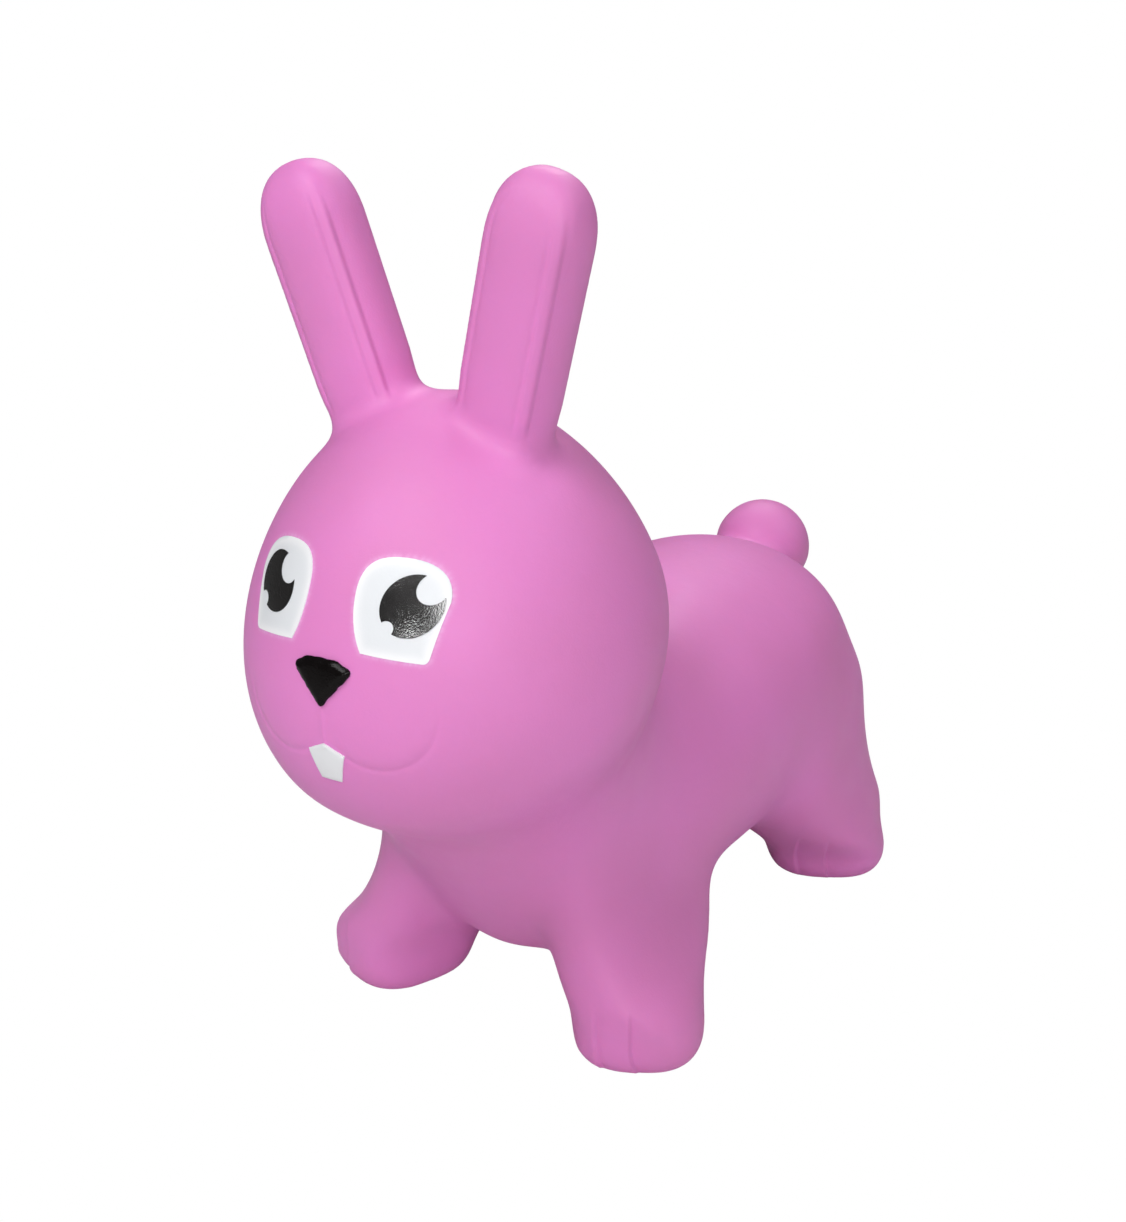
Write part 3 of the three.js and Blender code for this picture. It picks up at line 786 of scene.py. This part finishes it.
valve_bush = turned(
    "valve_bush",
    (flange_radius - VALVE_EDGE, seat_low.z),
    (flange_radius, seat_low.z + VALVE_EDGE),
    (flange_radius, flange_top - VALVE_EDGE),
    (flange_radius - VALVE_EDGE, flange_top),
    (NECK_RADIUS, flange_top),
    (NECK_RADIUS, seat_high.z),
)
bore_start, bore_end = seat_low.z - DRILL_PAST, seat_high.z + DRILL_PAST
drill(valve_bush, turned("bore", (BORE_RADIUS, bore_start), (BORE_RADIUS, bore_end)))
hole_radius = NECK_RADIUS + HOLE_GAP
drill(skin, turned("hole", (hole_radius, bore_start), (hole_radius, bore_end)))
valve_plug = turned(
    "valve_plug_turned",
    (plug_radius - 2 * VALVE_EDGE, plug_low.z),
    (plug_radius, plug_low.z + 2 * VALVE_EDGE),
    (plug_radius, plug_head_top - VALVE_EDGE),
    (plug_radius - VALVE_EDGE, plug_head_top),
    (PEG_RADIUS, plug_head_top),
    (PEG_RADIUS, plug_high.z - VALVE_EDGE),
    (PEG_RADIUS - VALVE_EDGE, plug_high.z),
)
for piece in (valve_bush, valve_plug):
    take(piece)
    bpy.ops.object.shade_smooth_by_angle(angle=SHARP_ANGLE)

# %% [markdown]
# ## Parting the skin where it flexes
# The toy nods at the neck, its ears bend and its legs squash, so the skin has to follow several
# bodies. It is cut by planes into a torso, a head, two ears and four legs. Each cut lies where the
# skin still follows the body that it comes from, so no gap opens there. The pieces borrow their
# normals from the uncut skin, and that hides the cuts.

# %% Helpers for cutting
def cut(piece, point, normal, keep_front, where=None):
    """Bisects all the faces, or those that a test takes in, drops one side and closes the cut."""
    if where:
        select_faces(piece, where)
    else:
        take(piece)
        bpy.ops.object.mode_set(mode="EDIT")
        bpy.ops.mesh.select_all(action="SELECT")
    bpy.ops.mesh.bisect(
        plane_co=point, plane_no=normal, use_fill=True, clear_inner=keep_front, clear_outer=not keep_front
    )
    bpy.ops.object.mode_set(mode="OBJECT")


def middle_of(piece):
    return sum((vertex.co for vertex in piece.data.vertices), Vector()) / len(piece.data.vertices)


def borrow_normals(piece):
    apply_modifier(
        piece,
        "DATA_TRANSFER",
        object=skin,
        use_loop_data=True,
        data_types_loops={"CUSTOM_NORMAL"},
        loop_mapping="POLYINTERP_NEAREST",
    )


# %% Torso, head, ears and legs
NECK_POINT = Vector((0, -0.042, 0.233))
NECK_NORMAL = Vector((0, -0.559, 0.828)).normalized()
NECK_CUT = -0.022
EAR_HINGE_RISE = 0.029
EAR_CUT = 0.006
LEG_CUT = 0.030


def on_side(sign):
    """A test that takes in the faces on one side of the rabbit."""

    def test(place, normal):
        return place.x * sign > 0

    return test


def ear_point(sign, past_hinge):
    return ear_place(sign) @ Vector((0, 0, EAR_HINGE_RISE + past_hinge))


def ear_axis(sign):
    return ear_place(sign).to_3x3() @ Vector((0, 0, 1))


neck_cut_point = NECK_POINT + NECK_NORMAL * NECK_CUT
torso = copy_of(skin, "skin_torso")
cut(torso, neck_cut_point, NECK_NORMAL, keep_front=False)
cut(torso, (0, 0, LEG_CUT), (0, 0, 1), keep_front=True)

head = copy_of(skin, "skin_head")
cut(head, neck_cut_point, NECK_NORMAL, keep_front=True)
ears = {}
for side, sign in SIDES.items():
    cut(head, ear_point(sign, EAR_CUT), ear_axis(sign), keep_front=False, where=on_side(sign))
    ears[side] = copy_of(skin, f"skin_ear_{side}")
    cut(ears[side], (0, 0, 0), (sign, 0, 0), keep_front=True)
    cut(ears[side], ear_point(sign, EAR_CUT), ear_axis(sign), keep_front=True)

all_legs = copy_of(skin, "skin_legs")
cut(all_legs, (0, 0, LEG_CUT), (0, 0, 1), keep_front=False)
bpy.ops.mesh.separate(type="LOOSE")
legs = {}
for piece in bpy.context.selected_objects:
    middle = middle_of(piece)
    word = "front" if middle.y < TORSO_Y else "hind"
    side = "left" if middle.x > 0 else "right"
    piece.name = f"skin_{word}_leg_{side}"
    legs[word, side] = piece
assert len(legs) == len(LEGS) * len(SIDES)

skin_pieces = [torso, head, *ears.values(), *legs.values()]
for piece in skin_pieces:
    borrow_normals(piece)
    print(piece.name, len(piece.data.polygons), "faces")

# %% [markdown]
# ## The sprayed face
# A sprayed field is a thin film on the skin. Its outline is drawn flat in front of the face and filled
# with shrinking copies of itself, so that it can bend. Shrinkwrap throws it onto the skin along Y, and
# Solidify gives it a thickness that reaches a little into the skin. Seen from the front, X runs to the
# right and Z up, so an outline that runs anticlockwise faces the viewer.

# %% Helpers for films
FILM_RINGS = 14
FILM_ROOT = 0.0005
BEFORE_FACE = -0.5
DISC_SIDES = 64


def flat_field(name, outline):
    """A flat field in front of the face, filled with shrinking copies of its outline."""
    bpy.ops.mesh.primitive_circle_add(vertices=len(outline), radius=1)
    field = bpy.context.object
    field.name = name
    for vertex, (x, z) in zip(field.data.vertices, outline):
        vertex.co = (x, BEFORE_FACE, z)
    middle = middle_of(field)
    bpy.ops.object.mode_set(mode="EDIT")
    bpy.ops.mesh.select_mode(type="EDGE")
    bpy.ops.mesh.select_all(action="SELECT")
    for ring in range(FILM_RINGS, 1, -1):
        shrink = (ring - 1) / ring
        bpy.ops.mesh.extrude_region_move(TRANSFORM_OT_translate={"value": (0, 0, 0)})
        bpy.ops.transform.resize(value=(shrink, shrink, shrink), center_override=middle)
    bpy.ops.mesh.edge_face_add()
    bpy.ops.object.mode_set(mode="OBJECT")
    if field.data.polygons[0].normal.y > 0:
        field.data.flip_normals()
    return field


def film(name, outline, height):
    """A film of an outline in the front view, standing at a height over the skin."""
    piece = flat_field(name, outline)
    apply_modifier(
        piece,
        "SHRINKWRAP",
        target=skin,
        wrap_method="PROJECT",
        wrap_mode="ABOVE_SURFACE",
        use_project_y=True,
        offset=height,
    )
    apply_modifier(piece, "SOLIDIFY", thickness=height + FILM_ROOT, offset=-1)
    bpy.ops.object.shade_smooth_by_angle(angle=SHARP_ANGLE)
    return piece


def swell(piece, outline, rise, edge):
    """Raises a film to a pad with a rounded edge of some width."""
    rim = search_tree(outline)
    for vertex in piece.data.vertices:
        short = 1 - min(distance_from(rim, vertex.co) / edge, 1)
        vertex.co.y -= rise * math.sqrt(1 - short**2)


def disc(across, up, radius):
    return [
        (across + radius * math.cos(angle), up + radius * math.sin(angle))
        for angle in angles_round(DISC_SIDES)
    ]


def bite(piece, across, up, radius):
    """Punches a round hole through a film, along Y."""
    place = (across, HEAD_MIDDLE.y, up)
    bpy.ops.mesh.primitive_cylinder_add(
        vertices=DISC_SIDES,
        radius=radius,
        depth=HEAD_SIZE.y * 2,
        location=place,
        rotation=(math.pi / 2, 0, 0),
    )
    drill(piece, bpy.context.object)


# %% Eyes
# Both pupils carry their glints on the same side, because both eyes catch the same light. A glint is a
# hole in the black that shows the white below.
WHITE_FILM = 0.0004
PUPIL_FILM = 0.0007
PAINTED_LIT_RIM_WIDTH = 0.0035
PUPIL_ACROSS = {"left": 0.043, "right": 0.0405}
PUPIL_HEIGHT = 0.3195
PUPIL_RADIUS = 0.0147
GLINT_RADIUS = 0.0073
GLINT_SHIFT = (0.0082, 0.0085)
SMALL_GLINT_RADIUS = 0.0038
SMALL_GLINT_SHIFT = (-0.0098, -0.0106)

eye_whites, pupils = {}, {}
for side, sign in SIDES.items():
    eye_whites[side] = film(f"white_{side}", eye_outline(sign)[::sign], WHITE_FILM)
    # The rim attribute lightens the white towards its outline and leaves painted shade in its middle, as
    # on a recessed panel.
    mark_outline(eye_whites[side], "rim", PAINTED_LIT_RIM_WIDTH)
    x = sign * PUPIL_ACROSS[side]
    pupils[side] = film(f"black_{side}", disc(x, PUPIL_HEIGHT, PUPIL_RADIUS), PUPIL_FILM)
    bite(pupils[side], x + GLINT_SHIFT[0], PUPIL_HEIGHT + GLINT_SHIFT[1], GLINT_RADIUS)
    bite(pupils[side], x + SMALL_GLINT_SHIFT[0], PUPIL_HEIGHT + SMALL_GLINT_SHIFT[1], SMALL_GLINT_RADIUS)

# %% Nose and tooth
# Both are pads of the mould. The nose was painted by hand, so its edge wanders a little.
PAD_FILM = 0.0004
NOSE_HALF = (0.0172, 0.0122)
NOSE_MIDDLE = (0.0004, 0.2788)
NOSE_RISE = 0.0030
NOSE_EDGE = 0.0045
NOSE_WANDER = 0.018
NOSE_WAVES = ((7, 0), (12, 1))
TOOTH_HALF = (0.0115, 0.011)
TOOTH_TIP_HALF = 0.0065
TOOTH_MIDDLE = (0, 0.2342)
TOOTH_RISE = 0.0008
TOOTH_EDGE = 0.0016


def pad_outline(shares, half, middle):
    return [(middle[0] + half[0] * share.x, middle[1] + half[1] * share.y) for share in shares]


def wander(share):
    turn = math.atan2(share.y, share.x)
    waves = sum(math.sin(count * turn + shift) for count, shift in NOSE_WAVES)
    return share * (1 + NOSE_WANDER * waves)


nose_shares = curve_through(
    ((-0.12, -0.92), (-0.04, -1.06), (0.04, -1.06), (0.12, -0.92)),
    straight((0.12, -0.92), (0.93, 0.34)),
    ((0.93, 0.34), (1.05, 0.56), (0.98, 0.74), (0.76, 0.82)),
    ((0.76, 0.82), (0.3, 1.06), (-0.3, 1.06), (-0.76, 0.82)),
    ((-0.76, 0.82), (-0.98, 0.74), (-1.05, 0.56), (-0.93, 0.34)),
    straight((-0.93, 0.34), (-0.12, -0.92)),
)
nose_outline = pad_outline([wander(share) for share in nose_shares], NOSE_HALF, NOSE_MIDDLE)
nose = film("nose_pad", nose_outline, PAD_FILM)
swell(nose, nose_outline, NOSE_RISE, NOSE_EDGE)

tip = TOOTH_TIP_HALF / TOOTH_HALF[0]
tooth_shares = curve_through(
    straight((-tip, -1), (tip, -1)),
    straight((tip, -1), (1, 0.5)),
    straight((1, 0.5), (0, 1)),
    straight((0, 1), (-1, 0.5)),
    straight((-1, 0.5), (-tip, -1)),
)
tooth_outline = pad_outline(tooth_shares, TOOTH_HALF, TOOTH_MIDDLE)
tooth = film("tooth_pad", tooth_outline, PAD_FILM)
swell(tooth, tooth_outline, TOOTH_RISE, TOOTH_EDGE)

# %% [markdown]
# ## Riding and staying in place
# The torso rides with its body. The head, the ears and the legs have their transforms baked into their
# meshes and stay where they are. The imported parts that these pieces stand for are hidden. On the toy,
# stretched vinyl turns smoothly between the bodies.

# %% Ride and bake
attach(torso, "torso")
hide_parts("torso", "tail")
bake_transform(head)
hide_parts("head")
for side, sign in SIDES.items():
    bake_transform(ears[side])
    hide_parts(f"ear_{side}")
for (word, side), piece in legs.items():
    foot = LEGS[word]["foot"]
    x = SIDES[side] * foot.x
    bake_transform(piece)
    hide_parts(f"{word}_leg_{side}", f"{word}_foot_{side}")

# %% Face and valve ride
for side in SIDES:
    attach(eye_whites[side], "head")
    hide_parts(f"eye_white_{side}")
    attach(pupils[side], "head")
    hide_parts(f"pupil_{side}")
for piece, body, node, slot in (
    (nose, "head", "nose", "black_paint"),
    (tooth, "head", "tooth", "tooth_paint"),
    (valve_bush, "torso", "valve_seat", "clear_vinyl"),
    (valve_plug, "valve_plug", "valve_plug", "clear_vinyl"),
):
    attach(piece, body)
    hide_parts(node)

# %% [markdown]
# ## Finishes
# Every finish starts from the Principled shader. A texture is measured in object coordinates, which
# are metres here, so a scale of 500 means grains about 2 mm apart. Noise runs from 0 to 1 but seldom
# leaves the middle of that range. The Mix node has sockets for every kind of data under the same names,
# so those for colours are called by their numbers.

# %% Helpers for building materials
NOISE_RANGE = (0.3, 0.7)
MIX_SHARE = 0
MIX_FIRST = 6
MIX_SECOND = 7
MIX_COLOR = 2


def start_material(name):
    material = bpy.data.materials.new(name)
    material.use_nodes = True
    return material, material.node_tree, material.node_tree.nodes["Principled BSDF"]


def feed(tree, node, inputs):
    """Links a node's inputs, given by name or number, to outputs, or sets them to plain values."""
    for name, value in inputs.items():
        if isinstance(value, bpy.types.NodeSocket):
            tree.links.new(value, node.inputs[name])
        else:
            node.inputs[name].default_value = value


def add_node(tree, kind, inputs=(), **settings):
    """Adds a node, sets its options and feeds its inputs."""
    node = tree.nodes.new(kind)
    for name, value in settings.items():
        setattr(node, name, value)
    feed(tree, node, dict(inputs))
    return node


def noise(tree, scale, detail=2):
    place = add_node(tree, "ShaderNodeTexCoord").outputs["Object"]
    node = add_node(tree, "ShaderNodeTexNoise", {"Vector": place, "Scale": scale, "Detail": detail})
    return node.outputs["Fac"]


def between(tree, value, low, high, low_result, high_result):
    """Maps a value from one range onto another."""
    ranges = {"From Min": low, "From Max": high, "To Min": low_result, "To Max": high_result}
    return add_node(tree, "ShaderNodeMapRange", {"Value": value, **ranges}).outputs["Result"]


def vary(tree, scale, low, high, noise_range=NOISE_RANGE):
    """A value that wanders between two limits from place to place."""
    return between(tree, noise(tree, scale), *noise_range, low, high)


def mix_colors(tree, share, first, second):
    inputs = {MIX_SHARE: share, MIX_FIRST: first, MIX_SECOND: second}
    return add_node(tree, "ShaderNodeMix", inputs, data_type="RGBA").outputs[MIX_COLOR]


def multiply(tree, first, second):
    return add_node(tree, "ShaderNodeMath", {0: first, 1: second}, operation="MULTIPLY").outputs["Value"]


def grain_bump(tree, scale, depth, detail=2, below=None):
    """A bump of noise, laid over another bump where one is given."""
    inputs = {"Height": noise(tree, scale, detail), "Distance": depth, "Strength": 1}
    if below:
        inputs["Normal"] = below
    return add_node(tree, "ShaderNodeBump", inputs).outputs["Normal"]


def attribute(tree, name):
    return add_node(tree, "ShaderNodeAttribute", attribute_name=name).outputs["Fac"]


# %% Pink vinyl
PINK = (0.81, 0.25, 0.63, 1)
MAUVE = (0.76, 0.24, 0.565, 1)
SPRAY_DUST = (0.86, 0.46, 0.77, 1)
CLOUD_RANGE = (0.35, 0.65)


def vinyl_color(tree):
    """Pink with mauve clouds, and speckled with white where paint drifted."""
    clouds = vary(tree, scale=9, low=0, high=1, noise_range=CLOUD_RANGE)
    color = mix_colors(tree, clouds, PINK, MAUVE)
    dust = multiply(tree, attribute(tree, "overspray"), vary(tree, scale=300, low=0.3, high=0.9))
    return mix_colors(tree, dust, color, SPRAY_DUST)


def pink_vinyl():
    material, tree, shader = start_material("pink_vinyl")
    peel = grain_bump(tree, scale=130, depth=0.00022)
    look = {
        "Base Color": vinyl_color(tree),
        "Normal": grain_bump(tree, scale=900, detail=3, depth=0.00008, below=peel),
        "Roughness": vary(tree, scale=40, low=0.46, high=0.56),
        "Subsurface Weight": 0.08,
        "Subsurface Scale": 0.004,
        "Specular IOR Level": 0.35,
    }
    feed(tree, shader, look)
    return material


# %% Paints and the milky plastic
# Painted shade: the eye white is darker in its middle and lighter at its outline, as if the panel were
# recessed.
EYE_WHITE_PAINTED_SHADE = (0.80, 0.82, 0.85, 1)
EYE_WHITE_PAINTED_LIT_RIM = (0.95, 0.95, 0.97, 1)
BLACK = (0.003, 0.002, 0.002, 1)
BLACK_THIN = (0.006, 0.005, 0.005, 1)
GLOSS_IOR = 1.65
TOOTH = (0.80, 0.81, 0.83, 1)
TOOTH_PALE = (0.87, 0.88, 0.90, 1)
MILKY = (0.76, 0.70, 0.75, 1)
MILKY_PALE = (0.84, 0.79, 0.83, 1)


def white_paint():
    material, tree, shader = start_material("white_paint")
    # The rim attribute mixes the painted shade in the middle of the eye white with its lighter outline.
    look = {
        "Base Color": mix_colors(tree, attribute(tree, "rim"), EYE_WHITE_PAINTED_SHADE, EYE_WHITE_PAINTED_LIT_RIM),
        "Normal": grain_bump(tree, scale=700, detail=3, depth=0.00006),
        "Roughness": vary(tree, scale=120, low=0.4, high=0.5),
    }
    feed(tree, shader, look)
    return material


def black_paint(name, shine, roughness):
    material, tree, shader = start_material(name)
    look = {
        "Base Color": mix_colors(tree, noise(tree, scale=300), BLACK, BLACK_THIN),
        "Normal": grain_bump(tree, scale=1400, detail=0, depth=0.00008),
        "Roughness": roughness,
        "IOR": GLOSS_IOR,
        "Specular IOR Level": shine,
    }
    feed(tree, shader, look)
    return material


def tooth_paint():
    material, tree, shader = start_material("tooth_paint")
    look = {
        "Base Color": mix_colors(tree, noise(tree, scale=90), TOOTH, TOOTH_PALE),
        "Normal": grain_bump(tree, scale=800, detail=3, depth=0.00006),
        "Roughness": 0.45,
    }
    feed(tree, shader, look)
    return material


def clear_vinyl():
    material, tree, shader = start_material("clear_vinyl")
    look = {
        "Base Color": mix_colors(tree, noise(tree, scale=60), MILKY, MILKY_PALE),
        "Normal": grain_bump(tree, scale=600, depth=0.00005),
        "Roughness": 0.35,
        "Subsurface Weight": 0.3,
        "Subsurface Scale": 0.003,
    }
    feed(tree, shader, look)
    return material


finishes = [
    (pink_vinyl(), skin_pieces),
    (white_paint(), eye_whites.values()),
    (black_paint("black_paint", shine=1.0, roughness=0.20), pupils.values()),
    (black_paint("black_gloss", shine=0.08, roughness=0.18), [nose]),
    (tooth_paint(), [tooth]),
    (clear_vinyl(), [valve_bush, valve_plug]),
]
for material, pieces in finishes:
    for piece in pieces:
        piece.data.materials.clear()
        piece.data.materials.append(material)

# %% [markdown]
# ## Stage
# The photograph was cut out onto pure white. The floor and the sky are therefore plain white to the
# camera, and pale surfaces to every other ray, so that they still throw soft light back at the toy.
# The light in the photograph is soft: a wide lamp high in front, a fill near the camera, and one lamp
# each from behind and from the side. A narrow spot on the face leaves the dull glare on the pupil.

# %% Floor, sky and lamps
FLOOR_SIZE = 12
FLOOR_COLOR = (0.75, 0.75, 0.75, 1)
SKY_COLOR = (1, 1, 1, 1)
SKY_STRENGTH = 0.10
LAMP_TARGET = Vector((0, -0.05, 0.28))
LAMP_DISTANCE = 2.2
FACE_TARGET = Vector((0.02, -0.27, 0.32))
FACE_SPOT_DEGREES = 9
FACE_SPOT_RADIUS = 0.15


def seen_by_camera(tree):
    return add_node(tree, "ShaderNodeLightPath").outputs["Is Camera Ray"]


def white_floor():
    material, tree, shader = start_material("white_floor")
    feed(tree, shader, {"Base Color": FLOOR_COLOR, "Roughness": 0.9, "Specular IOR Level": 0})
    pale = shader.outputs["BSDF"]
    white = add_node(tree, "ShaderNodeEmission", {"Strength": 1}).outputs["Emission"]
    either = add_node(tree, "ShaderNodeMixShader", {"Fac": seen_by_camera(tree), 1: pale, 2: white})
    feed(tree, tree.nodes["Material Output"], {"Surface": either.outputs["Shader"]})
    return material


def add_lamp(kind, name, target, turn, rise, watts):
    """A lamp that looks at a target, turned from straight ahead and raised by some degrees."""
    way = Euler((-math.radians(rise), 0, math.radians(turn))).to_matrix() @ Vector((0, -1, 0))
    bpy.ops.object.light_add(type=kind, location=target + LAMP_DISTANCE * way)
    lamp = bpy.context.object
    lamp.name = name
    lamp.rotation_euler = (-way).to_track_quat("-Z", "Y").to_euler()
    lamp.data.energy = watts
    return lamp.data


def add_panel(name, turn, rise, size, watts):
    add_lamp("AREA", name, LAMP_TARGET, turn, rise, watts).size = size


bpy.ops.mesh.primitive_plane_add(size=FLOOR_SIZE)
floor = bpy.context.object
floor.name = "floor"
floor.data.materials.append(white_floor())

world = bpy.data.worlds.new("sky")
bpy.context.scene.world = world
world.use_nodes = True
sky_tree = world.node_tree
strength = between(sky_tree, seen_by_camera(sky_tree), 0, 1, SKY_STRENGTH, 1)
feed(sky_tree, sky_tree.nodes["Background"], {"Color": SKY_COLOR, "Strength": strength})

add_panel("key", turn=-10, rise=50, size=1.0, watts=23)
add_panel("fill", turn=38, rise=23, size=0.8, watts=16)
add_panel("back", turn=200, rise=50, size=1.0, watts=17)
add_panel("side", turn=110, rise=50, size=1.0, watts=8)
face_spot = add_lamp("SPOT", "face", FACE_TARGET, turn=14, rise=8, watts=26)
face_spot.spot_size = math.radians(FACE_SPOT_DEGREES)
face_spot.spot_blend = 1
face_spot.shadow_soft_size = FACE_SPOT_RADIUS
bpy.context.scene.view_settings.view_transform = "Standard"

# %% Finish
for form in [*forms, skin]:
    bpy.data.objects.remove(form)
